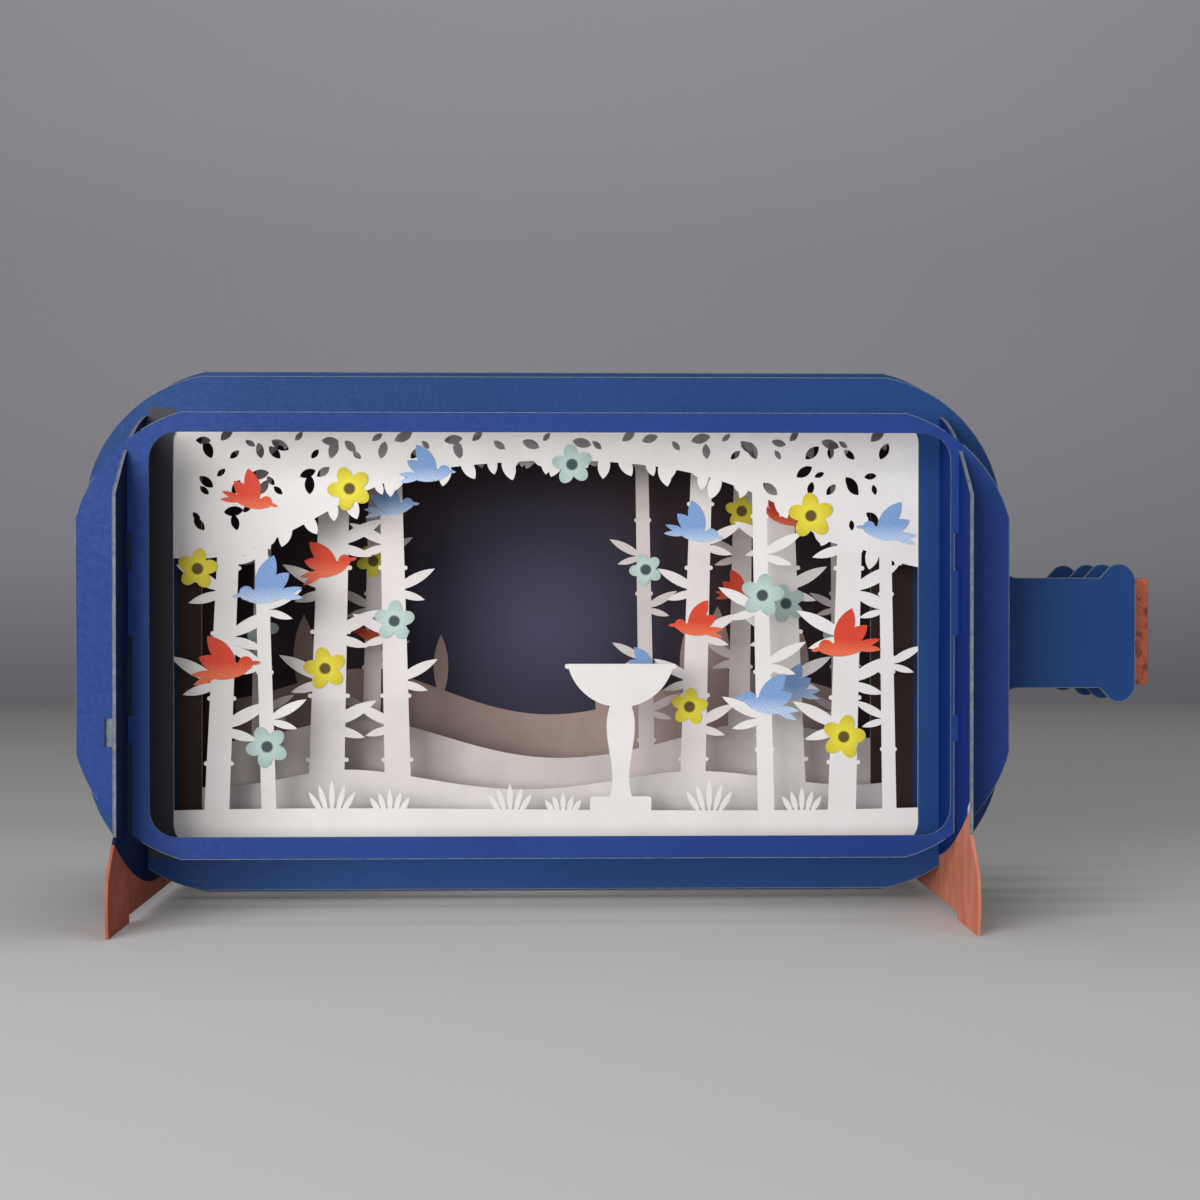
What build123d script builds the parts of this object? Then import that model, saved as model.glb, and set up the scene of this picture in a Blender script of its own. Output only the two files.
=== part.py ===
from build123d import *
import math
import os

os.makedirs("parts", exist_ok=True)

# Millimetres. X runs along the bottle with its neck at +X, Y runs from front to back, Z is up.
# Every sheet is drawn about the middle of the bottle's body; export() then moves it so that
# the origin is on the floor under the middle of the whole card, cork included.

# sheet stock
board = 0.6
paper = 0.4
die_cut = 0.25
glue_line = 0.02
slot_play = 0.06

# planes of the bottle frames, measured along Y
outer_plane = 36.0
inner_plane = 14.0
body_mid_z = 61.5

# bottle outlines: half length, half height, run of a corner along X and Z, bulge of its arc
outer_half = (100.0, 47.8)
outer_corner = (22.4, 22.6, 4.2)
inner_half = (103.0, 57.6)
inner_corner = (26.0, 29.6, 6.8)
middle_half = (104.5, 60.0)
middle_corner = (26.0, 32.0, 7.0)

# neck and lip, shared by the four sheets that have them
neck_half = 12.4
neck_root_radius = 4.0
lip_start = 125.7
lip_end = 133.7
lip_half = 15.6

# windows: left, right, bottom, top, corner radius
front_window = (-84.6, 87.4, 18.4, 105.1, 6.0)
inner_window = (-83.4, 84.4, 13.6, 109.4, 5.0)
middle_window = (-79.4, 80.6, 13.0, 110.0, 5.0)
rear_window = (-77.0, 78.0, 13.6, 109.4, 5.0)

# ribs
rib_x = 89.4
rib_front = 48.5
rib_bevel_y = 40.0
rib_bevel_z = (91.5, 98.6)
rib_crown = 111.5
foot_reach = 56.6
foot_top = 20.0
foot_inner = 35.0
underside = 1.7
outer_slot_top = 83.5
inner_slot_top = 61.5
pockets = ((18.0, 38.7), (44.3, 61.6), (75.4, 83.5))
pocket_depth = 1.0
lock_hole = (37.8, 43.9, 4.3)
lock_tab = (36.6, 45.1, 6.0)

# cork
cork_start = 112.0
cork_end = 140.9
cork_half = 12.4

# paper scene: ground heights and foliage depths are evenly spaced from left to right
sheet_lap = 2.6
base_top = 21.7
front_foliage = (31.0, 29.0, 21.0, 13.0, 10.0, 9.0, 9.5, 12.0, 18.0, 27.0, 33.0)
middle_foliage = (5.0, 4.5, 5.0, 7.0, 7.5, 7.5, 7.0, 5.0, 4.5, 5.0)
rear_foliage = (4.0, 4.0, 5.0, 6.0, 6.5, 6.0, 5.0, 4.0, 4.0)
middle_ground = (25.5, 27.0, 29.5, 28.0, 25.5, 25.0, 27.0, 29.0, 28.0, 26.0, 26.5)
rear_ground = (35.0, 37.5, 40.5, 38.0, 33.5, 31.0, 32.0, 35.5, 39.0, 38.0, 35.5)
far_ground = (44.0, 48.0, 51.5, 48.0, 42.5, 40.0, 42.0, 47.0, 51.0, 49.0, 44.5)

# canes: foot x, width, lean, joints, leaf length, side of the lowest leaf
front_canes = ((-74.0, 5.6, 4.0, 5, 13.0, 1), (-62.0, 3.4, -2.5, 4, 10.0, 1),
               (50.0, 3.8, -2.0, 4, 11.0, -1), (67.0, 6.4, 2.5, 5, 13.0, -1),
               (78.0, 3.2, -1.5, 4, 9.0, -1))
middle_canes = ((-51.0, 8.4, 2.5, 5, 13.0, 1), (-34.0, 6.2, -2.0, 5, 11.0, -1),
                (34.0, 6.0, 2.5, 5, 11.0, 1), (57.0, 8.0, -3.0, 5, 12.0, -1))
rear_canes = ((-68.0, 4.6, 1.0, 4, 9.0, 1), (-42.0, 4.4, 2.0, 4, 10.0, -1),
              (24.5, 3.8, -1.5, 4, 9.0, 1), (46.0, 5.4, 1.5, 4, 10.0, 1),
              (71.0, 4.2, -1.0, 4, 8.0, -1))
tufts = ((-48.0, 8.0), (-35.0, 6.0), (-8.0, 7.0), (4.0, 5.0), (37.0, 8.0), (58.0, 6.0))
poplars = ((-60.0, 17.0), (-53.0, 13.0), (-26.0, 12.0), (14.0, 10.0), (36.0, 16.0),
           (43.0, 20.0), (64.0, 12.0))
bath_place = (17.0, 21.0, 33.0)

# die-cut birds: sheet they are glued to, x, z, size, turn, facing
red_birds = (("front", -71.0, 53.0, 16.0, 12, 1), ("front", 67.5, 58.0, 16.0, -8, -1),
             ("front", -66.0, 91.0, 13.0, -14, 1), ("middle", -49.5, 76.0, 14.0, 20, 1),
             ("middle", 34.5, 62.0, 13.0, 6, -1), ("middle", 55.5, 88.0, 14.0, -18, 1),
             ("rear", -41.0, 60.0, 11.0, 10, -1), ("rear", 46.5, 70.0, 11.0, 0, 1))
blue_birds = (("front", -63.0, 70.0, 16.0, -6, -1), ("front", 76.5, 84.0, 14.0, 10, -1),
              ("front", -26.0, 97.0, 13.0, 4, 1), ("front", 49.5, 45.0, 15.0, 14, -1),
              ("middle", -35.0, 90.0, 13.0, 8, 1), ("middle", 35.0, 84.0, 14.0, -12, 1),
              ("middle", 57.0, 47.0, 13.0, 0, -1), ("rear", 24.5, 52.0, 11.0, 12, 1))
# die-cut blossoms: sheet, x, z, radius, turn
yellow_blossoms = (("front", -78.0, 76.0, 4.6, 10), ("front", -44.0, 94.0, 5.0, 40),
                   ("front", 60.0, 88.0, 5.2, 22), ("front", 67.5, 38.0, 5.0, 5),
                   ("middle", -51.0, 53.0, 5.0, 30), ("middle", 33.5, 44.0, 4.4, 12),
                   ("rear", -41.0, 78.0, 4.0, 50), ("rear", 47.0, 90.0, 4.0, 18))
mint_blossoms = (("front", 6.0, 99.5, 4.6, 26), ("front", 49.0, 70.0, 5.0, 8),
                 ("front", -62.5, 36.0, 4.8, 44), ("middle", -35.0, 64.0, 4.8, 15),
                 ("middle", 56.0, 68.0, 4.6, 33), ("rear", -67.5, 62.0, 4.0, 0),
                 ("rear", 70.5, 60.0, 4.0, 28), ("rear", 24.0, 76.0, 4.0, 41))


def sheet(outline, y_front, thickness):
    """Turn a flat outline drawn in X and Z into a sheet whose front face is at y_front."""
    back = Plane(origin=(0, y_front + thickness, 0), x_dir=(1, 0, 0), z_dir=(0, -1, 0))
    return extrude(back * outline, thickness)


def bulged_corner(start, end, bulge, centre):
    """Arc from start to end that swells away from centre by bulge."""
    mid_x = (start[0] + end[0]) / 2
    mid_z = (start[1] + end[1]) / 2
    normal_x = -(end[1] - start[1])
    normal_z = end[0] - start[0]
    length = math.hypot(normal_x, normal_z)
    side = 1 if normal_x * (mid_x - centre[0]) + normal_z * (mid_z - centre[1]) > 0 else -1
    top = (mid_x + side * bulge * normal_x / length, mid_z + side * bulge * normal_z / length)
    return ThreePointArc(start, top, end)


def body_outline(half, corner):
    """Closed body of the bottle: four straight sides joined by four shallow arcs."""
    half_x, half_z = half
    run_x, run_z, bulge = corner
    middle = (0, body_mid_z)
    flat_x = half_x - run_x
    low = body_mid_z - half_z
    high = body_mid_z + half_z
    side_low = low + run_z
    side_high = high - run_z
    edges = [Line((-flat_x, low), (flat_x, low))]
    edges.append(bulged_corner((flat_x, low), (half_x, side_low), bulge, middle))
    edges.append(Line((half_x, side_low), (half_x, side_high)))
    edges.append(bulged_corner((half_x, side_high), (flat_x, high), bulge, middle))
    edges.append(Line((flat_x, high), (-flat_x, high)))
    edges.append(bulged_corner((-flat_x, high), (-half_x, side_high), bulge, middle))
    edges.append(Line((-half_x, side_high), (-half_x, side_low)))
    edges.append(bulged_corner((-half_x, side_low), (-flat_x, low), bulge, middle))
    return make_face(edges)


def neck_outline(root_x):
    """Neck with flared roots at root_x and a rounded lip at its end."""
    top = []
    r = neck_root_radius
    inside = root_x - 10
    flare = (root_x + r * (1 - math.sqrt(0.5)), neck_half + r * (1 - math.sqrt(0.5)))
    top.append(Line((inside, neck_half + r), (root_x, neck_half + r)))
    top.append(ThreePointArc((root_x, neck_half + r), flare, (root_x + r, neck_half)))
    top.append(Line((root_x + r, neck_half), (lip_start, neck_half)))
    shoulder = (lip_start + 2.3, lip_half - 0.7)
    top.append(Line((lip_start, neck_half), shoulder))
    top.append(ThreePointArc(shoulder, (lip_start + 4.3, lip_half), (lip_end - 1.1, lip_half - 1.3)))
    top.append(ThreePointArc((lip_end - 1.1, lip_half - 1.3), (lip_end - 0.2, lip_half - 2.6),
                             (lip_end, lip_half - 4.2)))
    bottom = [edge.mirror(Plane.XZ) for edge in top]
    ends = [Line((inside, neck_half + r), (inside, -neck_half - r))]
    ends.append(Line((lip_end, lip_half - 4.2), (lip_end, 4.2 - lip_half)))
    return Pos(0, body_mid_z) * make_face(top + bottom + ends)


def bottle_outline(half, corner):
    return body_outline(half, corner) + neck_outline(half[0])


def window_outline(window):
    left, right, low, high, radius = window
    return Pos((left + right) / 2, (low + high) / 2) * RectangleRounded(right - left, high - low, radius)


def box_outline(left, right, low, high):
    return Pos((left + right) / 2, (low + high) / 2) * Rectangle(right - left, high - low)


def rib_slots(slot_top):
    """The pair of upright slots, open at the lower edge, that drop over the ribs."""
    half = board / 2 + slot_play
    slots = box_outline(rib_x - half, rib_x + half, -1, slot_top)
    return slots + box_outline(-rib_x - half, -rib_x + half, -1, slot_top)


def grip_pockets():
    """Wider stretches on the inner side of the outer frames' slots."""
    cuts = Sketch()
    for low, high in pockets:
        cuts += box_outline(rib_x - board / 2 - pocket_depth, rib_x, low, high)
        cuts += box_outline(-rib_x, pocket_depth + board / 2 - rib_x, low, high)
    return cuts


def make_front_frame():
    outline = body_outline(outer_half, outer_corner) - window_outline(front_window)
    outline -= rib_slots(outer_slot_top)
    outline -= grip_pockets()
    low, high, reach = lock_hole
    outline -= box_outline(-rib_x - board / 2 - reach, -rib_x, low, high)
    return sheet(outline, -outer_plane - board / 2, board)


def make_inner_frame(half, corner, window, y):
    outline = bottle_outline(half, corner) - window_outline(window)
    outline -= rib_slots(inner_slot_top)
    return sheet(outline, y - board / 2, board)


def make_back_panel():
    outline = bottle_outline(outer_half, outer_corner) - rib_slots(outer_slot_top)
    return sheet(outline, outer_plane - board / 2, board)


def make_cork():
    outline = box_outline(cork_start, cork_end, body_mid_z - cork_half, body_mid_z + cork_half)
    return sheet(outline, board / 2 + glue_line, board)


def rib_outline():
    """Half of the rib from its crown to the floor, mirrored front to back."""
    bevel_low, bevel_high = rib_bevel_z
    edges = [ThreePointArc((0, rib_crown), (22.0, rib_crown - 3.3), (rib_bevel_y, bevel_high))]
    edges.append(Line((rib_bevel_y, bevel_high), (rib_front, bevel_low)))
    edges.append(Line((rib_front, bevel_low), (rib_front, foot_top)))
    edges.append(ThreePointArc((rib_front, foot_top), (52.0, 16.7), (foot_reach - 0.6, 11.8)))
    edges.append(ThreePointArc((foot_reach - 0.6, 11.8), (foot_reach, 8.0), (foot_reach - 0.8, 0)))
    edges.append(Line((foot_reach - 0.8, 0), (foot_inner, 0)))
    edges.append(Line((foot_inner, 0), (foot_inner, underside)))
    edges.append(Line((foot_inner, underside), (0, underside)))
    edges.append(Line((0, underside), (0, rib_crown)))
    half = make_face(edges)
    return half + mirror(half, Plane.YZ)


def make_rib(side):
    """Rib across the bottle at one end, with slots open at the top for the five frames."""
    half = board / 2 + slot_play
    outline = rib_outline()
    for y in (-outer_plane, outer_plane):
        outline -= box_outline(y - half, y + half, outer_slot_top - slot_play, rib_crown + 1)
    for y in (-inner_plane, 0, inner_plane):
        outline -= box_outline(y - half, y + half, inner_slot_top - slot_play, rib_crown + 1)
    left_face = Plane(origin=(side * rib_x - board / 2, 0, 0), x_dir=(0, 1, 0), z_dir=(1, 0, 0))
    return extrude(left_face * outline, board)


def make_left_rib():
    """The left rib has a tab folded outwards behind the front frame, across its lock hole."""
    low, high, reach = lock_tab
    root = -rib_x - board / 2
    tab = sheet(box_outline(root - reach, root + 0.1, low, high), board / 2 + slot_play - outer_plane, board)
    return make_rib(-1) + tab


def leaf(x, z, length, width, angle):
    """Pointed leaf with its stalk end at x, z."""
    edges = [ThreePointArc((0, 0), (length * 0.45, width / 2), (length, 0))]
    edges.append(ThreePointArc((length, 0), (length * 0.45, -width / 2), (0, 0)))
    return Pos(x, z) * Rot(0, 0, angle) * make_face(edges)


def cane(x, z_low, z_high, width, lean, joints):
    """Tapering upright cane with a slight swelling at each joint."""
    height = z_high - z_low
    tip = width * 0.8
    corners = [(-width / 2, 0), (width / 2, 0), (lean + tip / 2, height), (lean - tip / 2, height)]
    outline = Pos(x, z_low) * make_face(Polyline(*corners, close=True))
    rings = []
    for count in range(1, joints + 1):
        share = count / (joints + 1)
        wide = width * (1.22 - 0.2 * share)
        rings.append(Pos(x + lean * share, z_low + height * share) * RectangleRounded(wide, 1.0, 0.45))
    return outline + rings


def cane_leaves(x, z_low, z_high, lean, joints, length, first_side):
    """Leaf pairs that leave a cane at its joints, on one side and then the other."""
    leaves = []
    for count in range(1, joints + 1):
        share = count / (joints + 1)
        side = first_side if count % 2 else -first_side
        root_x = x + lean * share
        root_z = z_low + (z_high - z_low) * share
        angle = 28 if side > 0 else 152
        leaves.append(leaf(root_x, root_z, length, length * 0.22, angle))
        leaves.append(leaf(root_x, root_z, length * 0.7, length * 0.17, angle - 44 * side))
    return leaves


def rolling_ground(left, right, low, heights):
    """Ground whose top is one smooth curve through evenly spaced heights."""
    step = (right - left) / (len(heights) - 1)
    points = [(left + step * index, height) for index, height in enumerate(heights)]
    edges = [Spline(*points), Line(points[-1], (right, low))]
    edges.append(Line((right, low), (left, low)))
    edges.append(Line((left, low), points[0]))
    return make_face(edges)


def canopy(window, depths, leaf_length):
    """Hanging foliage: a strip along the top with leaves drooping from its lower edge."""
    left, right, low, high, radius = window
    step = (right - left) / (len(depths) - 1)
    ground = [(left + step * index, high - depth) for index, depth in enumerate(depths)]
    edges = [Spline(*ground), Line(ground[-1], (right, high)), Line((right, high), (left, high))]
    edges.append(Line((left, high), ground[0]))
    leaves = []
    count = int((right - left) / (leaf_length * 0.62))
    for index in range(1, count):
        x = left + (right - left) * index / count
        place = (x - left) / step
        cell = min(int(place), len(depths) - 2)
        depth = depths[cell] + (depths[cell + 1] - depths[cell]) * (place - cell)
        angle = -90 + 34 * math.sin(index * 2.3)
        size = leaf_length * (1 + 0.25 * math.sin(index * 1.7))
        leaves.append(leaf(x, high - depth + leaf_length * 0.45, size, size * 0.46, angle))
    return make_face(edges) + leaves


def leaf_holes(window, depths, rows, pitch, size):
    """Small leaf-shaped holes that thin out towards the lower edge of the foliage."""
    left, right, low, high, radius = window
    step = (right - left) / (len(depths) - 1)
    holes = []
    for row in range(rows):
        z = high - 4.6 - row * pitch * 0.72
        columns = int((right - left - 8) / pitch)
        for column in range(columns):
            x = left + 5 + pitch * (column + 0.5 * (row % 2)) + 0.9 * math.sin(3.1 * column + row)
            cell = min(max(int((x - left) / step), 0), len(depths) - 2)
            depth = min(depths[cell], depths[cell + 1])
            if high - z < depth - 1.2:
                turn = 50 * math.sin(column * 1.9 + row * 2.7) + 90 * (row % 2)
                length = size * (1 + 0.3 * math.sin(column * 2.6 + row * 1.3))
                holes.append(leaf(x, z, length, length * 0.5, turn))
    return holes


def tuft(x, z, height):
    """Tuft of five grass blades."""
    blades = []
    for index in range(5):
        blades.append(leaf(x + index - 2, z - 0.6, height * (1 - 0.12 * abs(index - 2)), 1.3,
                           90 + 16 * (2 - index)))
    return blades


def bird_bath(x, z, height):
    """Pedestal bird bath: stepped foot, turned stem and a shallow bowl."""
    foot = Pos(x, z + height * 0.05) * RectangleRounded(height * 0.42, height * 0.12, 0.6)
    profile = [(height * 0.14, 0), (height * 0.06, height * 0.3), (height * 0.09, height * 0.5),
               (height * 0.05, height * 0.78)]
    right_side = Spline(*profile)
    left_side = right_side.mirror(Plane.YZ)
    base = Line((-profile[0][0], 0), profile[0])
    cap = Line((-profile[3][0], profile[3][1]), profile[3])
    stem = Pos(x, z) * make_face([base, right_side, cap, left_side])
    rim = height * 0.36
    edges = [ThreePointArc((-rim, height), (0, height * 0.72), (rim, height))]
    edges.append(Line((rim, height), (-rim, height)))
    bowl = Pos(x, z) * make_face(edges)
    lip = Pos(x, z + height) * RectangleRounded(rim * 2.12, 1.1, 0.5)
    return foot + [stem, bowl, lip]


def bird(x, z, size, angle):
    """Small flying bird seen from the side: body, head, bill, two wings and a forked tail."""
    body = Ellipse(size * 0.28, size * 0.11)
    head = Pos(size * 0.25, size * 0.06) * Circle(size * 0.1)
    bill = leaf(size * 0.3, size * 0.05, size * 0.16, size * 0.06, -8)
    wings = [leaf(size * 0.1, 0, size * 0.62, size * 0.26, 118)]
    wings.append(leaf(size * 0.04, 0, size * 0.5, size * 0.22, 146))
    tail = [leaf(-size * 0.12, 0, size * 0.42, size * 0.1, 172)]
    tail.append(leaf(-size * 0.12, 0, size * 0.42, size * 0.1, 192))
    return Pos(x, z) * Rot(0, 0, angle) * (body + [head, bill] + wings + tail)


def blossom(x, z, radius, angle):
    """Five-petalled flower."""
    petals = []
    for index in range(5):
        turn = angle + 72 * index
        petals.append(Rot(0, 0, turn) * Pos(radius * 0.56, 0) * Ellipse(radius * 0.44, radius * 0.34))
    return Pos(x, z) * (Circle(radius * 0.34) + petals)


def lapped_border(window):
    """Plain border that laps behind the edge of a frame's window and is glued to it."""
    left, right, low, high, radius = window
    outer = box_outline(left - sheet_lap, right + sheet_lap, low - sheet_lap, high + sheet_lap)
    return outer - box_outline(left, right, low, high)


def planted(canes, foot_z, top_z):
    """Canes with their leaves, rooted below the ground line and ending in the foliage."""
    pieces = []
    for x, width, lean, joints, length, side in canes:
        pieces.append(cane(x, foot_z, top_z, width, lean, joints))
        pieces += cane_leaves(x, foot_z + 12, top_z - 14, lean, joints, length, side)
    return pieces


def scene_outline(window, ground, foliage, canes, leaf_length):
    """White cut sheet: border, ground, hanging foliage and the canes between them."""
    left, right, low, high, radius = window
    pieces = [rolling_ground(left, right, low, ground)]
    pieces.append(canopy(window, foliage, leaf_length))
    pieces += planted(canes, low + 4, high - 4)
    inside = Sketch() + pieces
    inside = inside & box_outline(left, right, low, high)
    return inside + lapped_border(window)


def make_front_scene():
    flat = (base_top, base_top + 0.4, base_top, base_top - 0.3, base_top + 0.2)
    outline = scene_outline(inner_window, flat, front_foliage, front_canes, 5.2)
    bath_x, bath_z, bath_height = bath_place
    outline = outline + bird_bath(bath_x, bath_z, bath_height)
    for x, height in tufts:
        outline = outline + tuft(x, base_top - 0.4, height)
    outline = outline - leaf_holes(inner_window, front_foliage, 8, 5.6, 3.4)
    return sheet(outline, scene_front["front"], paper)


def make_middle_scene():
    outline = scene_outline(middle_window, middle_ground, middle_foliage, middle_canes, 4.6)
    outline = outline - leaf_holes(middle_window, middle_foliage, 3, 7.2, 2.6)
    return sheet(outline, scene_front["middle"], paper)


def make_rear_scene():
    outline = scene_outline(rear_window, rear_ground, rear_foliage, rear_canes, 4.2)
    return sheet(outline, scene_front["rear"], paper)


def make_far_scene():
    """Far hills and poplars, glued flat to the back panel."""
    left, right, low, high, radius = rear_window
    outline = rolling_ground(left, right, low, far_ground)
    step = (right - left) / (len(far_ground) - 1)
    for x, height in poplars:
        foot = far_ground[int((x - left) / step)] - 4
        outline = outline + leaf(x, foot, height + 4, height * 0.3, 90)
    return sheet(outline, outer_plane - board / 2 - glue_line - paper, paper)


def make_birds(places):
    birds = []
    for layer, x, z, size, turn, facing in places:
        outline = bird(0, 0, size, turn)
        if facing < 0:
            outline = mirror(outline, Plane.YZ)
        birds.append(sheet(Pos(x, z) * outline, scene_front[layer] - glue_line - die_cut, die_cut))
    return Compound(children=birds)


def make_blossoms(places):
    flowers = []
    for layer, x, z, radius, turn in places:
        flowers.append(sheet(blossom(x, z, radius, turn), scene_front[layer] - glue_line - die_cut, die_cut))
    return Compound(children=flowers)


scene_front = {
    "front": -inner_plane + board / 2 + glue_line,
    "middle": board / 2 + glue_line,
    "rear": inner_plane + board / 2 + glue_line,
}


def export(shape, node):
    """Write one node, each of its solids moved so the card stands over the origin."""
    to_middle = (cork_end - middle_half[0]) / 2
    moved = [Pos(-to_middle, 0, 0) * solid for solid in shape.solids()]
    if len(moved) == 1:
        export_step(moved[0], "parts/" + node + ".step")
    else:
        export_step(Compound(moved), "parts/" + node + ".step")


export(make_front_frame(), "front_frame")
export(make_inner_frame(inner_half, inner_corner, inner_window, -inner_plane), "bottle_frame_front")
export(make_inner_frame(middle_half, middle_corner, middle_window, 0), "bottle_frame_middle")
export(make_inner_frame(inner_half, inner_corner, rear_window, inner_plane), "bottle_frame_rear")
export(make_back_panel(), "back_panel")
export(make_cork(), "cork_sheet")
export(make_left_rib(), "left_rib")
export(make_rib(1), "right_rib")
export(make_front_scene(), "scene_sheet_front")
export(make_middle_scene(), "scene_sheet_middle")
export(make_rear_scene(), "scene_sheet_rear")
export(make_far_scene(), "scene_sheet_far")
export(make_birds(red_birds), "birds_red")
export(make_birds(blue_birds), "birds_blue")
export(make_blossoms(yellow_blossoms), "blossoms_yellow")
export(make_blossoms(mint_blossoms), "blossoms_mint")
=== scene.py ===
import math

import bmesh
import bpy
from mathutils import Euler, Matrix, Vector


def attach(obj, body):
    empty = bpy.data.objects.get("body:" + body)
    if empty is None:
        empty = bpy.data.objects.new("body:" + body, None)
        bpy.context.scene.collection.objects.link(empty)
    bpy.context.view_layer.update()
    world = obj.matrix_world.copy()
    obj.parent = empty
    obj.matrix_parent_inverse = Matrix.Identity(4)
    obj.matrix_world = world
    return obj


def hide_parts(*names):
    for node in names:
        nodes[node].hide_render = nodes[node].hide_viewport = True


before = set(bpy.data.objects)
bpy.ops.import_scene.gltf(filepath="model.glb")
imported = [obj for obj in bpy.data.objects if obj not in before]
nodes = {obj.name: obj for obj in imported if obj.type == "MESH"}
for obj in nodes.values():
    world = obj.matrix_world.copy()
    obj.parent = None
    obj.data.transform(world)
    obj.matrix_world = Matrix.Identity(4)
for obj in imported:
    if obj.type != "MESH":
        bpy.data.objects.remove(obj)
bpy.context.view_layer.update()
bodyMiddleX = -0.0182               # middle of the bottle's body; the cork shifts the origin off it
ribX = 0.0894                       # each rib's distance from that middle
sheetPlanes = (0.036, 0.014, 0.0)   # how far front or back of the middle the ribs are slotted
squareOn = 0.7                      # how squarely a face must look along an axis to count as printed
print("frame loaded:", len(nodes), "pieces")


def hexColour(text, alpha=1.0):
    values = [int(text[i:i + 2], 16) / 255 for i in (1, 3, 5)]
    linear = [v / 12.92 if v <= 0.04045 else ((v + 0.055) / 1.055) ** 2.4 for v in values]
    return (*linear, alpha)


# one node with its settings, its values or links, and the stops of its ramp
def addNode(tree, kind, settings=None, inputs=None, stops=None):
    node = tree.nodes.new(kind)
    for key, value in (settings or {}).items():
        setattr(node, key, value)
    for key, value in (inputs or {}).items():
        socket = node.inputs[key]
        if isinstance(value, bpy.types.NodeSocket):
            tree.links.new(value, socket)
        else:
            socket.default_value = value
    for index, (place, colour) in enumerate(stops or ()):
        elements = node.color_ramp.elements
        element = elements[index] if index < len(elements) else elements.new(place)
        element.position = place
        element.color = colour
    return node


def startMaterial(name):
    material = bpy.data.materials.new(name)
    material.use_nodes = True
    tree = material.node_tree
    tree.nodes.clear()
    shader = addNode(tree, "ShaderNodeBsdfPrincipled")
    addNode(tree, "ShaderNodeOutputMaterial", inputs={"Surface": shader.outputs[0]})
    return material, tree, shader


def greyStops(*stops):
    return [(place, (grey, grey, grey, 1)) for place, grey in stops]


# every pattern below is worked out in millimetres on Object coordinates
def objectMillimetres(tree):
    place = addNode(tree, "ShaderNodeTexCoord").outputs["Object"]
    return addNode(tree, "ShaderNodeVectorMath", {"operation": "SCALE"},
                   {0: place, "Scale": 1000.0}).outputs[0]


# cloudy variation of a printed or pulped surface, grain being its size in millimetres
def clouds(tree, place, grain, detail=3.0, rough=0.55, stretch=(1, 1, 1)):
    mapped = addNode(tree, "ShaderNodeMapping", inputs={"Vector": place, "Scale": stretch}).outputs[0]
    return addNode(tree, "ShaderNodeTexNoise",
                   inputs={"Vector": mapped, "Scale": 1.0 / grain, "Detail": detail,
                           "Roughness": rough}).outputs["Fac"]


# litho-printed boxboard under a matt varnish: an even ink film, softly mottled, over a faint fibre grain.
# darkField lays one flat colour over a box of the face, which is painted shade where it stands for a shadow
def printedBoard(name, ink, deepInk, darkField=None):
    material, tree, shader = startMaterial(name)
    place = objectMillimetres(tree)
    mottle = clouds(tree, place, 0.9, 4.0)
    cloud = clouds(tree, place, 38.0, 2.0)
    both = addNode(tree, "ShaderNodeMath", {"operation": "MULTIPLY_ADD"},
                   {0: mottle, 1: 0.5, 2: cloud}).outputs[0]
    share = addNode(tree, "ShaderNodeValToRGB", inputs={"Fac": both},
                    stops=greyStops((0.62, 0), (0.9, 1))).outputs[0]
    colour = addNode(tree, "ShaderNodeMix", {"data_type": "RGBA"},
                     {0: share, 6: hexColour(ink), 7: hexColour(deepInk)}).outputs[2]
    if darkField:
        left, right, low, high, shade = darkField
        part = addNode(tree, "ShaderNodeSeparateXYZ", inputs={0: place})
        inX = addNode(tree, "ShaderNodeMath", {"operation": "COMPARE"},
                      {0: part.outputs[0], 1: (left + right) / 2, 2: (right - left) / 2}).outputs[0]
        inZ = addNode(tree, "ShaderNodeMath", {"operation": "COMPARE"},
                      {0: part.outputs[2], 1: (low + high) / 2, 2: (high - low) / 2}).outputs[0]
        inside = addNode(tree, "ShaderNodeMath", {"operation": "MULTIPLY"}, {0: inX, 1: inZ}).outputs[0]
        colour = addNode(tree, "ShaderNodeMix", {"data_type": "RGBA"},
                         {0: inside, 6: colour, 7: hexColour(shade)}).outputs[2]
    tree.links.new(colour, shader.inputs["Base Color"])
    rough = addNode(tree, "ShaderNodeMapRange", inputs={"Value": mottle, "From Min": 0.3, "From Max": 0.7,
                                                        "To Min": 0.48, "To Max": 0.62}).outputs[0]
    tree.links.new(rough, shader.inputs["Roughness"])
    shader.inputs["Specular IOR Level"].default_value = 0.17
    fibre = clouds(tree, place, 0.45, 3.0, 0.6, (1, 1, 0.35))
    bump = addNode(tree, "ShaderNodeBump",
                   inputs={"Height": fibre, "Strength": 0.1, "Distance": 0.0001}).outputs[0]
    tree.links.new(bump, shader.inputs["Normal"])
    return material


# the core of die-cut board or paper: matt and fibrous, greyed where the blade drags ink over it
def cutCore(name, pale, grey):
    material, tree, shader = startMaterial(name)
    fray = clouds(tree, objectMillimetres(tree), 1.6, 4.0, 0.65)
    share = addNode(tree, "ShaderNodeValToRGB", inputs={"Fac": fray},
                    stops=greyStops((0.35, 0), (0.7, 1))).outputs[0]
    colour = addNode(tree, "ShaderNodeMix", {"data_type": "RGBA"},
                     {0: share, 6: hexColour(pale), 7: hexColour(grey)}).outputs[2]
    tree.links.new(colour, shader.inputs["Base Color"])
    shader.inputs["Roughness"].default_value = 0.85
    shader.inputs["Specular IOR Level"].default_value = 0.2
    return material
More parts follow.
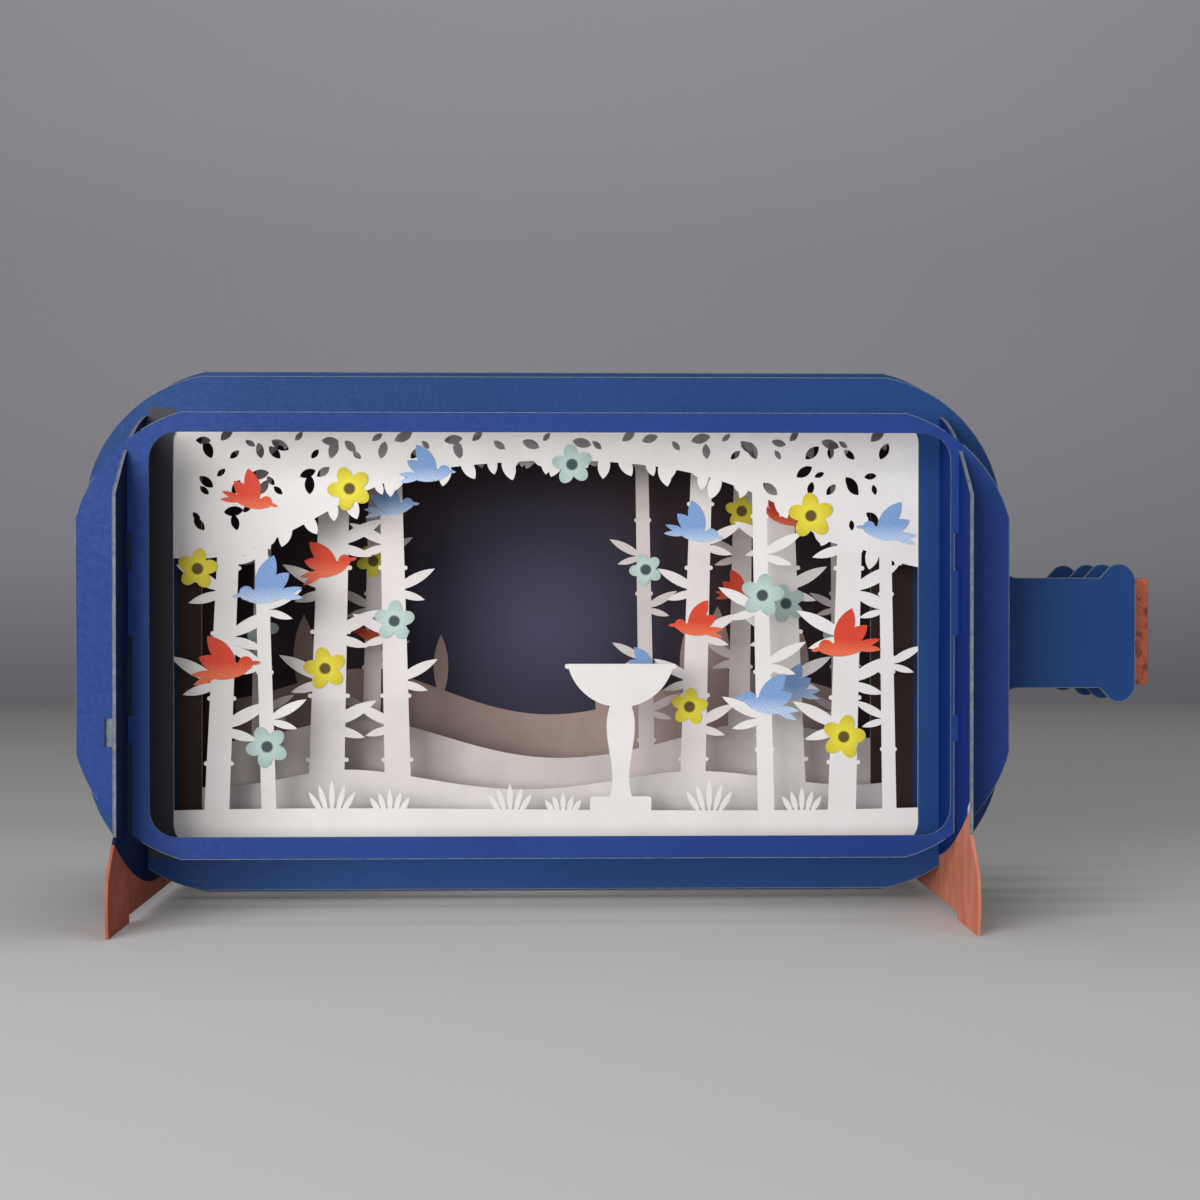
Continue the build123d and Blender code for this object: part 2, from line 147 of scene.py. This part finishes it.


# laser-cut cartridge paper: soft white with a warm cast, fibre grain and no shine; the two tones given for
# each sheet carry painted shade
def cartridgePaper(name, depthShadedWhite, depthShadedWarm):
    material, tree, shader = startMaterial(name)
    place = objectMillimetres(tree)
    cloud = clouds(tree, place, 14.0)
    share = addNode(tree, "ShaderNodeValToRGB", inputs={"Fac": cloud},
                    stops=greyStops((0.35, 0), (0.7, 1))).outputs[0]
    colour = addNode(tree, "ShaderNodeMix", {"data_type": "RGBA"},
                     {0: share, 6: hexColour(depthShadedWhite), 7: hexColour(depthShadedWarm)}).outputs[2]
    tree.links.new(colour, shader.inputs["Base Color"])
    shader.inputs["Roughness"].default_value = 0.9
    shader.inputs["Specular IOR Level"].default_value = 0.15
    fibre = clouds(tree, place, 0.5, 4.0, 0.65)
    bump = addNode(tree, "ShaderNodeBump",
                   inputs={"Height": fibre, "Strength": 0.14, "Distance": 0.0001}).outputs[0]
    tree.links.new(bump, shader.inputs["Normal"])
    return material


# where each rib's copper foot ends, in millimetres: its height halfway along and how much higher it is at
# reach, to the front and to the back alike; bare board shows in front of bareFrom. edgeTop, in metres, is
# how high the copper covers the cut edges
# the two ribs carry one print in two tones: the left rib's blue and copper are the darker copy, painted shade
# for its inner face turned away from the key lamp, and the right rib's copper is the lighter copy, painted
# light for its face turned towards it
ribPrint = {"bare": "#c9c9c6", "bareFrom": -46.0, "reach": 48.5, "edgeTop": 0.022,
            "left": {"ink": "#12244c", "deepInk": "#0e1e42", "low": 4.8, "rise": 13.0, "bare": 0.0,
                     "copper": "#b86b55", "deepCopper": "#9c5541"},
            "right": {"ink": "#0c2e76", "deepInk": "#0a286c", "low": 9.8, "rise": 15.7, "bare": 1.6,
                      "copper": "#da8a70", "deepCopper": "#c2745a"}}


# boxboard with a foot in metallic copper ink: satin and warm, a sliver of bare board where the inks miss
def copperFootBoard(name, foot):
    material, tree, shader = startMaterial(name)
    place = objectMillimetres(tree)
    part = addNode(tree, "ShaderNodeSeparateXYZ", inputs={0: place})
    depth = addNode(tree, "ShaderNodeMath", {"operation": "DIVIDE"},
                    {0: part.outputs[1], 1: ribPrint["reach"]}).outputs[0]
    reach = addNode(tree, "ShaderNodeMath", {"operation": "MULTIPLY"}, {0: depth, 1: depth}).outputs[0]
    edge = addNode(tree, "ShaderNodeMath", {"operation": "MULTIPLY_ADD"},
                   {0: reach, 1: foot["rise"], 2: foot["low"]}).outputs[0]
    inFoot = addNode(tree, "ShaderNodeMath", {"operation": "LESS_THAN"},
                     {0: part.outputs[2], 1: edge}).outputs[0]
    mottle = clouds(tree, place, 0.9, 4.0)
    blue = addNode(tree, "ShaderNodeMix", {"data_type": "RGBA"},
                   {0: mottle, 6: hexColour(foot["ink"]), 7: hexColour(foot["deepInk"])}).outputs[2]
    if foot["bare"]:
        top = addNode(tree, "ShaderNodeMath", {"operation": "ADD"}, {0: edge, 1: foot["bare"]}).outputs[0]
        below = addNode(tree, "ShaderNodeMath", {"operation": "LESS_THAN"},
                        {0: part.outputs[2], 1: top}).outputs[0]
        front = addNode(tree, "ShaderNodeMath", {"operation": "LESS_THAN"},
                        {0: part.outputs[1], 1: ribPrint["bareFrom"]}).outputs[0]
        missed = addNode(tree, "ShaderNodeMath", {"operation": "MULTIPLY"}, {0: below, 1: front}).outputs[0]
        blue = addNode(tree, "ShaderNodeMix", {"data_type": "RGBA"},
                       {0: missed, 6: blue, 7: hexColour(ribPrint["bare"])}).outputs[2]
    streak = clouds(tree, place, 7.0, 4.0, 0.6, (1, 1, 0.5))
    share = addNode(tree, "ShaderNodeValToRGB", inputs={"Fac": streak},
                    stops=greyStops((0.35, 0), (0.65, 1))).outputs[0]
    copper = addNode(tree, "ShaderNodeMix", {"data_type": "RGBA"},
                     {0: share, 6: hexColour(foot["copper"]), 7: hexColour(foot["deepCopper"])}).outputs[2]
    colour = addNode(tree, "ShaderNodeMix", {"data_type": "RGBA"}, {0: inFoot, 6: blue, 7: copper}).outputs[2]
    tree.links.new(colour, shader.inputs["Base Color"])
    metal = addNode(tree, "ShaderNodeMath", {"operation": "MULTIPLY"}, {0: inFoot, 1: 0.3}).outputs[0]
    tree.links.new(metal, shader.inputs["Metallic"])
    shader.inputs["Roughness"].default_value = 0.7
    shader.inputs["Specular IOR Level"].default_value = 0.06
    fibre = clouds(tree, place, 0.45, 3.0, 0.6)
    bump = addNode(tree, "ShaderNodeBump",
                   inputs={"Height": fibre, "Strength": 0.1, "Distance": 0.0001}).outputs[0]
    tree.links.new(bump, shader.inputs["Normal"])
    return material


# copper ink printed as cork: warm ground with dark pits and pale grains 1 to 3 mm across
def corkPrint(name, ground, grain, pit):
    material, tree, shader = startMaterial(name)
    place = objectMillimetres(tree)
    pits = clouds(tree, place, 2.6, 3.0, 0.6, (1.4, 1, 0.8))
    grains = clouds(tree, place, 1.1)
    share = addNode(tree, "ShaderNodeValToRGB", inputs={"Fac": grains},
                    stops=greyStops((0.35, 0), (0.65, 1))).outputs[0]
    colour = addNode(tree, "ShaderNodeMix", {"data_type": "RGBA"},
                     {0: share, 6: hexColour(ground), 7: hexColour(grain)}).outputs[2]
    dark = addNode(tree, "ShaderNodeValToRGB", inputs={"Fac": pits},
                   stops=greyStops((0.53, 0), (0.62, 1))).outputs[0]
    marked = addNode(tree, "ShaderNodeMix", {"data_type": "RGBA"},
                     {0: dark, 6: colour, 7: hexColour(pit)}).outputs[2]
    tree.links.new(marked, shader.inputs["Base Color"])
    shader.inputs["Roughness"].default_value = 0.5
    shader.inputs["Metallic"].default_value = 0.15
    bump = addNode(tree, "ShaderNodeBump",
                   inputs={"Height": grains, "Strength": 0.12, "Distance": 0.0001}).outputs[0]
    tree.links.new(bump, shader.inputs["Normal"])
    return material


# the glow's middle and spread, and the dark field's middle and half sizes, in millimetres
backdrop = {"middle": (-22, 0, 62), "spread": (46, 500, 44), "fieldX": (-18.2, 85), "fieldZ": (61.5, 46.2),
            "glow": "#46455f", "dusk": "#302d3e", "edge": "#33262a"}


# face of the back panel: near-black brown print that clears to a dim indigo glow, in a field edged in blue
def backdropPrint(name, ink, deepInk):
    material, tree, shader = startMaterial(name)
    place = objectMillimetres(tree)
    middle = addNode(tree, "ShaderNodeMapping", {"vector_type": "TEXTURE"},
                     {"Vector": place, "Location": backdrop["middle"],
                      "Scale": backdrop["spread"]}).outputs[0]
    away = addNode(tree, "ShaderNodeVectorMath", {"operation": "LENGTH"}, {0: middle}).outputs["Value"]
    glow = addNode(tree, "ShaderNodeValToRGB", inputs={"Fac": away},
                   stops=[(0, hexColour(backdrop["glow"])), (0.55, hexColour(backdrop["dusk"])),
                          (1, hexColour(backdrop["edge"]))]).outputs[0]
    part = addNode(tree, "ShaderNodeSeparateXYZ", inputs={0: place})
    middleX, halfX = backdrop["fieldX"]
    middleZ, halfZ = backdrop["fieldZ"]
    inX = addNode(tree, "ShaderNodeMath", {"operation": "COMPARE"},
                  {0: part.outputs[0], 1: middleX, 2: halfX}).outputs[0]
    inZ = addNode(tree, "ShaderNodeMath", {"operation": "COMPARE"},
                  {0: part.outputs[2], 1: middleZ, 2: halfZ}).outputs[0]
    inside = addNode(tree, "ShaderNodeMath", {"operation": "MULTIPLY"}, {0: inX, 1: inZ}).outputs[0]
    mottle = clouds(tree, place, 0.9, 4.0)
    blue = addNode(tree, "ShaderNodeMix", {"data_type": "RGBA"},
                   {0: mottle, 6: hexColour(ink), 7: hexColour(deepInk)}).outputs[2]
    colour = addNode(tree, "ShaderNodeMix", {"data_type": "RGBA"}, {0: inside, 6: blue, 7: glow}).outputs[2]
    tree.links.new(colour, shader.inputs["Base Color"])
    shader.inputs["Roughness"].default_value = 0.7
    shader.inputs["Specular IOR Level"].default_value = 0.2
    return material


# coated paper, digitally printed as plumage: fine broken bars on a flat ground, a paler breast below
def plumagePrint(name, look):
    material, tree, shader = startMaterial(name)
    place = addNode(tree, "ShaderNodeUVMap", {"uv_map": "motifMm"}).outputs[0]
    bars = addNode(tree, "ShaderNodeTexWave", {"bands_direction": "DIAGONAL"},
                   {"Vector": place, "Scale": 0.85, "Distortion": 5.0, "Detail": 3.0}).outputs["Fac"]
    dark = addNode(tree, "ShaderNodeValToRGB", inputs={"Fac": bars},
                   stops=greyStops((0.62, 0), (0.95, 0.42))).outputs[0]
    height = addNode(tree, "ShaderNodeSeparateXYZ", inputs={0: place}).outputs[1]
    breast = addNode(tree, "ShaderNodeMapRange",
                     inputs={"Value": height, "From Min": 0.5, "From Max": -2.5}).outputs[0]
    ground = addNode(tree, "ShaderNodeMix", {"data_type": "RGBA"},
                     {0: breast, 6: hexColour(look["ground"]), 7: hexColour(look["second"])}).outputs[2]
    colour = addNode(tree, "ShaderNodeMix", {"data_type": "RGBA"},
                     {0: dark, 6: ground, 7: hexColour(look["mark"])}).outputs[2]
    tree.links.new(colour, shader.inputs["Base Color"])
    shader.inputs["Roughness"].default_value = 0.6
    shader.inputs["Specular IOR Level"].default_value = 0.25
    return material


# the same paper printed as petals: a small dark eye and tips that turn unevenly deeper
def petalPrint(name, look):
    material, tree, shader = startMaterial(name)
    place = addNode(tree, "ShaderNodeUVMap", {"uv_map": "motifMm"}).outputs[0]
    reach = addNode(tree, "ShaderNodeVectorMath", {"operation": "LENGTH"}, {0: place}).outputs["Value"]
    tips = addNode(tree, "ShaderNodeMapRange",
                   inputs={"Value": reach, "From Min": 1.8, "From Max": 5.0}).outputs[0]
    streak = clouds(tree, place, 0.8)
    uneven = addNode(tree, "ShaderNodeMath", {"operation": "MULTIPLY"}, {0: tips, 1: streak}).outputs[0]
    ground = addNode(tree, "ShaderNodeMix", {"data_type": "RGBA"},
                     {0: uneven, 6: hexColour(look["ground"]), 7: hexColour(look["second"])}).outputs[2]
    eye = addNode(tree, "ShaderNodeMapRange",
                  inputs={"Value": reach, "From Min": 1.5, "From Max": 1.1}).outputs[0]
    colour = addNode(tree, "ShaderNodeMix", {"data_type": "RGBA"},
                     {0: eye, 6: ground, 7: hexColour(look["mark"])}).outputs[2]
    tree.links.new(colour, shader.inputs["Base Color"])
    shader.inputs["Roughness"].default_value = 0.6
    shader.inputs["Specular IOR Level"].default_value = 0.25
    return material


frontInks = {"ink": "#1a3a7e", "deepInk": "#163476"}
bottleInks = {"ink": "#184078", "deepInk": "#143a70"}
coreGrey = cutCore("dieCutBoardCore", "#7c8286", "#586272")
paperEdge = cutCore("laserCutPaperEdge", "#cfc8c4", "#b9b0ac")
frontInk = printedBoard("lithoBoxboardViolet", **frontInks)
bottleInk = printedBoard("lithoBoxboardTeal", **bottleInks)
# painted shade: the front bottle frame's left margin, between the left rib and the window, is laid flat in
# dull grey-violet for the shadow that the front frame and the left rib cast on it
shadedBandInk = printedBoard("lithoBoxboardTealPaintedShadeBand", **bottleInks,
                       darkField=(-107.0, -101.0, 11.0, 112.0, "#3c3a42"))
fieldInk = printedBoard("lithoBoxboardTealDarkField", **bottleInks,
                        darkField=(-103.0, 67.5, 11.0, 112.0, "#3a2926"))
backdropInk = backdropPrint("lithoBoxboardBackdrop", **bottleInks)
# the left rib takes the shaded copy of the print (painted shade) and the right rib takes the lit copy
# (painted light)
leftRibShadedInk = copperFootBoard("copperInkBoxboardLeftPaintedShade", ribPrint["left"])
rightRibLitInk = copperFootBoard("copperInkBoxboardRightPaintedLight", ribPrint["right"])
corkInk = corkPrint("copperInkCork", "#d8704c", "#bc5a3a", "#863c26")
# painted shade: each scene sheet's white is a step greyer and browner the deeper it sits, standing for the
# shade inside the box
sheetWhitesShadedByDepth = {"scene_sheet_front": ("#dedbd9", "#d7d3d0"), "scene_sheet_middle": ("#dad4d2", "#d0c9c7"),
               "scene_sheet_rear": ("#ccc2c0", "#c0b6b4"), "scene_sheet_far": ("#a48f89", "#96827c")}
print("materials made")


# a sheet's faces get their print by the way they face; its cut sides show the core
def dressSheet(name, axis, low, high, core):
    mesh = nodes[name].data
    mesh.materials.clear()
    for material in (low, high, core):
        mesh.materials.append(material)
    for face in mesh.polygons:
        lean = face.normal[axis]
        face.material_index = 0 if lean < -squareOn else 1 if lean > squareOn else 2


dressSheet("front_frame", 1, frontInk, frontInk, coreGrey)
dressSheet("bottle_frame_front", 1, shadedBandInk, bottleInk, coreGrey)
dressSheet("bottle_frame_middle", 1, fieldInk, bottleInk, coreGrey)
dressSheet("bottle_frame_rear", 1, fieldInk, bottleInk, coreGrey)
dressSheet("back_panel", 1, backdropInk, bottleInk, coreGrey)
dressSheet("left_rib", 0, leftRibShadedInk, leftRibShadedInk, coreGrey)
dressSheet("right_rib", 0, rightRibLitInk, rightRibLitInk, coreGrey)
dressSheet("cork_sheet", 1, corkInk, corkInk, coreGrey)
for name, (depthShadedWhite, depthShadedWarm) in sheetWhitesShadedByDepth.items():
    paper = cartridgePaper("laserCutCartridgeDepthShaded_" + name, depthShadedWhite, depthShadedWarm)
    dressSheet(name, 1, paper, paper, paperEdge)
# the copper of each foot carries over its cut edges, so no grey core shows below the frames
for name in ("left_rib", "right_rib"):
    for face in nodes[name].data.polygons:
        if face.material_index == 2 and face.center.z < ribPrint["edgeTop"]:
            face.material_index = 0
print("sheets dressed")


# windows are left, right, bottom, top round the body's middle; their edges are cut clean and carry no bead
cutLine = {"radius": 0.00009, "sides": 5, "sharpFrom": 1.1, "slotClear": 0.0009,
           "slotFoot": 0.06, "footTop": 0.024,
           "windows": {"front_frame": (-0.0957, 0.0879, 0.0179, 0.1056),
                       "bottle_frame_front": (-0.0839, 0.0849, 0.0131, 0.1099),
                       "bottle_frame_middle": (-0.0799, 0.0811, 0.0125, 0.1105),
                       "bottle_frame_rear": (-0.0775, 0.0785, 0.0131, 0.1099)}}


# bead of grey core that the cutting blade raises along the outer edges of a board
def cutLineTree():
    tree = bpy.data.node_groups.new("cutLine", "GeometryNodeTree")
    sockets = tree.interface
    sockets.new_socket("Geometry", in_out="INPUT", socket_type="NodeSocketGeometry")
    sockets.new_socket("Radius", in_out="INPUT", socket_type="NodeSocketFloat")
    sockets.new_socket("Sides", in_out="INPUT", socket_type="NodeSocketInt")
    sockets.new_socket("Seed", in_out="INPUT", socket_type="NodeSocketInt")
    sockets.new_socket("Material", in_out="INPUT", socket_type="NodeSocketMaterial")
    sockets.new_socket("Geometry", in_out="OUTPUT", socket_type="NodeSocketGeometry")
    given = addNode(tree, "NodeGroupInput").outputs
    path = addNode(tree, "GeometryNodeMeshToCurve", inputs={"Mesh": given["Geometry"]}).outputs[0]
    wobble = addNode(tree, "FunctionNodeRandomValue",
                     inputs={2: 0.7, 3: 1.15, "Seed": given["Seed"]}).outputs[1]
    varied = addNode(tree, "GeometryNodeSetCurveRadius", inputs={"Curve": path, "Radius": wobble}).outputs[0]
    ring = addNode(tree, "GeometryNodeCurvePrimitiveCircle",
                   inputs={"Resolution": given["Sides"], "Radius": given["Radius"]}).outputs[0]
    bead = addNode(tree, "GeometryNodeCurveToMesh",
                   inputs={"Curve": varied, "Profile Curve": ring, "Fill Caps": True}).outputs[0]
    real = addNode(tree, "GeometryNodeRealizeInstances", inputs={0: bead}).outputs[0]
    done = addNode(tree, "GeometryNodeSetMaterial",
                   inputs={"Geometry": real, "Material": given["Material"]}).outputs[0]
    addNode(tree, "NodeGroupOutput", inputs={"Geometry": done})
    return tree


lineTree = cutLineTree()


def setInput(modifier, name, value):
    for item in modifier.node_group.interface.items_tree:
        if item.name == name and item.in_out == "INPUT":
            modifier[item.identifier] = value


def makePlain(obj, name):
    bpy.context.view_layer.update()
    evaluated = obj.evaluated_get(bpy.context.evaluated_depsgraph_get())
    mesh = bpy.data.meshes.new_from_object(evaluated)
    plain = bpy.data.objects.new(name, mesh)
    bpy.context.scene.collection.objects.link(plain)
    bpy.data.objects.remove(obj)
    return plain


def inWindow(point, window):
    left, right, low, high = window
    return left < point.x - bodyMiddleX < right and low < point.z < high


# keeps only the sheet's outer edges, without those inside the cross slots or round a window
def outlineOf(name, axis, inSlot):
    window = cutLine["windows"].get(name)
    work = bmesh.new()
    work.from_mesh(nodes[name].data)
    bmesh.ops.remove_doubles(work, verts=work.verts, dist=1e-6)
    keep = []
    for edge in work.edges:
        if len(edge.link_faces) != 2:
            continue
        along = (edge.verts[0].co - edge.verts[1].co).normalized()
        if edge.calc_face_angle(0.0) > cutLine["sharpFrom"] and abs(along[axis]) < 0.5:
            middle = (edge.verts[0].co + edge.verts[1].co) / 2
            if inSlot(middle) or (window and inWindow(middle, window)):
                continue
            keep.append(tuple(v.co.copy() for v in edge.verts))
    work.free()
    lines = bmesh.new()
    for first, second in keep:
        lines.edges.new((lines.verts.new(first), lines.verts.new(second)))
    bmesh.ops.remove_doubles(lines, verts=lines.verts, dist=1e-6)
    mesh = bpy.data.meshes.new(name + "Outline")
    lines.to_mesh(mesh)
    lines.free()
    return mesh


def frameSlot(point):
    return abs(abs(point.x - bodyMiddleX) - ribX) < cutLine["slotClear"]


def ribSlot(point):
    nearest = min(abs(abs(point.y) - y) for y in sheetPlanes)
    inSlot = point.z > cutLine["slotFoot"] and nearest < cutLine["slotClear"]
    return inSlot or point.z < cutLine["footTop"]


def noSlot(point):
    return False


lined = (("front_frame", 1, frameSlot), ("bottle_frame_front", 1, frameSlot),
         ("bottle_frame_middle", 1, frameSlot), ("bottle_frame_rear", 1, frameSlot),
         ("back_panel", 1, frameSlot), ("left_rib", 0, ribSlot), ("right_rib", 0, ribSlot),
         ("cork_sheet", 1, noSlot))
for count, (name, axis, inSlot) in enumerate(lined):
    holder = bpy.data.objects.new(name + "Line", outlineOf(name, axis, inSlot))
    bpy.context.scene.collection.objects.link(holder)
    modifier = holder.modifiers.new("cutLine", "NODES")
    modifier.node_group = lineTree
    setInput(modifier, "Radius", cutLine["radius"])
    setInput(modifier, "Sides", cutLine["sides"])
    setInput(modifier, "Seed", count)
    setInput(modifier, "Material", coreGrey)
    bead = makePlain(holder, name + "CutLine")
    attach(bead, "root")
print("cut lines laid")


motifs = {
    "birds_red": {"slot": "red_paper", "paint": plumagePrint,
                  "ground": "#d8432a", "second": "#e8704a", "mark": "#5a1f18"},
    "birds_blue": {"slot": "sky_paper", "paint": plumagePrint,
                   "ground": "#7d9fd0", "second": "#b4c8e4", "mark": "#2c3f66"},
    "blossoms_yellow": {"slot": "yellow_paper", "paint": petalPrint,
                        "ground": "#dccf38", "second": "#a88e1c", "mark": "#5c4a1c"},
    "blossoms_mint": {"slot": "mint_paper", "paint": petalPrint,
                      "ground": "#b4c8c2", "second": "#7c9692", "mark": "#3c4a4c"},
}


# a merged copy of the die cuts, each with its own millimetre map round its middle
def dressMotifs(name, look):
    work = bmesh.new()
    work.from_mesh(nodes[name].data)
    bmesh.ops.remove_doubles(work, verts=work.verts, dist=1e-6)
    layer = work.loops.layers.uv.new("motifMm")
    left = set(work.verts)
    count = 0
    while left:
        group = {left.pop()}
        reach = list(group)
        while reach:
            for edge in reach.pop().link_edges:
                for vert in edge.verts:
                    if vert in left:
                        left.discard(vert)
                        group.add(vert)
                        reach.append(vert)
        middle = sum((v.co for v in group), Vector()) / len(group)
        count += 1
        for vert in group:
            for loop in vert.link_loops:
                loop[layer].uv = ((vert.co.x - middle.x) * 1000, (vert.co.z - middle.z) * 1000)
    mesh = bpy.data.meshes.new(name + "Print")
    work.to_mesh(mesh)
    work.free()
    piece = bpy.data.objects.new(name + "Print", mesh)
    bpy.context.scene.collection.objects.link(piece)
    mesh.materials.append(look["paint"]("digitalPrintPaper_" + name, look))
    mesh.materials.append(paperEdge)
    for face in mesh.polygons:
        face.material_index = 0 if abs(face.normal.y) > squareOn else 1
    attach(piece, "root")
    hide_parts(name)
    return count


for name, look in motifs.items():
    print(name, "cut:", dressMotifs(name, look))


# tones of the floor from near to far and of the wall from its foot up, the lamps' power, the sweep's sizes.
# The floor tones darken from near to far and the wall tones lighten upwards, which is painted light and
# shade, and the darkest tone is a painted shade band where floor meets wall
studio = {"floor": "#dcdcda", "midFloor": "#b2b2b0", "farFloorShade": "#979695",
          "meetShade": "#828084", "low": "#94939a", "wall": "#a2a2a6",
          "keyPower": 7.7, "fillPower": 3.6, "world": 0.13, "wallPower": 7.0,
          "wallY": 0.95, "bend": 0.30, "front": -1.6, "top": 1.8, "halfWidth": 2.4, "steps": 24}


# one sweep of pale paper: level floor, wide bend, upright wall
def makeSweep():
    profile = [(studio["front"], 0.0)]
    for index in range(studio["steps"] + 1):
        turn = math.pi / 2 * index / studio["steps"]
        profile.append((studio["wallY"] - studio["bend"] + studio["bend"] * math.sin(turn),
                        studio["bend"] - studio["bend"] * math.cos(turn)))
    profile.append((studio["wallY"], studio["top"]))
    verts = [(x, y, z) for x in (-studio["halfWidth"], studio["halfWidth"]) for y, z in profile]
    size = len(profile)
    faces = [(i, size + i, size + i + 1, i + 1) for i in range(size - 1)]
    mesh = bpy.data.meshes.new("sweep")
    mesh.from_pydata(verts, [], faces)
    for face in mesh.polygons:
        face.use_smooth = True
    sweep = bpy.data.objects.new("sweep", mesh)
    bpy.context.scene.collection.objects.link(sweep)
    material, tree, shader = startMaterial("sweepPaperPaintedShading")
    place = addNode(tree, "ShaderNodeTexCoord").outputs["Object"]
    part = addNode(tree, "ShaderNodeSeparateXYZ", inputs={0: place})
    # painted shading on an even pale paper: the floor darkens with distance, a dark band lies in the bend,
    # and the wall lightens upwards
    depth = addNode(tree, "ShaderNodeMapRange",
                    inputs={"Value": part.outputs[1], "From Min": -0.2, "From Max": 0.65}).outputs[0]
    floorPaintedFalloff = addNode(tree, "ShaderNodeValToRGB", inputs={"Fac": depth},
                        stops=[(0.09, hexColour(studio["floor"])), (0.41, hexColour(studio["midFloor"])),
                               (1, hexColour(studio["farFloorShade"]))]).outputs[0]
    wallPaintedShading = addNode(tree, "ShaderNodeValToRGB", inputs={"Fac": part.outputs[2]},
                       stops=[(0.02, hexColour(studio["meetShade"])), (0.09, hexColour(studio["low"])),
                              (0.4, hexColour(studio["wall"]))]).outputs[0]
    onWall = addNode(tree, "ShaderNodeMapRange",
                     inputs={"Value": part.outputs[2], "From Min": 0.0, "From Max": 0.004}).outputs[0]
    tone = addNode(tree, "ShaderNodeMix", {"data_type": "RGBA"},
                   {0: onWall, 6: floorPaintedFalloff, 7: wallPaintedShading}).outputs[2]
    tree.links.new(tone, shader.inputs["Base Color"])
    shader.inputs["Roughness"].default_value = 0.9
    shader.inputs["Specular IOR Level"].default_value = 0.1
    mesh.materials.append(material)


def addLamp(name, place, target, width, height, power):
    data = bpy.data.lights.new(name, "AREA")
    data.shape = "RECTANGLE"
    data.size = width
    data.size_y = height
    data.energy = power
    lamp = bpy.data.objects.new(name, data)
    lamp.location = place
    lamp.rotation_euler = (Vector(target) - Vector(place)).to_track_quat("-Z", "Y").to_euler()
    bpy.context.scene.collection.objects.link(lamp)


# each lamp's place, what it looks at, width, height and power: a broad key from the left, a low weak fill
# that opens up the paper scene, and one for the wall alone
lamps = {"keyLamp": ((-0.50, -0.80, 0.22), (-0.02, 0, 0.06), 0.62, 0.42, studio["keyPower"]),
         "fillLamp": ((-0.1, -1.3, 0.16), (0, 0, 0.06), 0.7, 0.25, studio["fillPower"]),
         "wallLamp": ((0.1, 0.1, 1.3), (0, 0.9, 0.6), 0.8, 0.8, studio["wallPower"])}
makeSweep()
for name, settings in lamps.items():
    addLamp(name, *settings)

world = bpy.data.worlds.new("studioWorld")
world.use_nodes = True
world.node_tree.nodes.clear()
sky = addNode(world.node_tree, "ShaderNodeBackground",
              inputs={"Color": hexColour("#f4f4f6"), "Strength": studio["world"]})
addNode(world.node_tree, "ShaderNodeOutputWorld", inputs={"Surface": sky.outputs[0]})
bpy.context.scene.world = world


view = {"place": (-0.0180, -0.4767, 0.0728), "turn": -1.5, "dip": 0.474, "lens": 61.6}
cameraData = bpy.data.cameras.new("camera")
cameraData.sensor_width = 36.0
cameraData.lens = view["lens"]
cameraData.clip_start = 0.01
camera = bpy.data.objects.new("camera", cameraData)
camera.location = view["place"]
camera.rotation_euler = Euler((math.radians(90 - view["dip"]), 0, math.radians(view["turn"])))
bpy.context.scene.collection.objects.link(camera)
bpy.context.scene.camera = camera
bpy.context.scene.view_settings.view_transform = "Standard"
print("studio set")
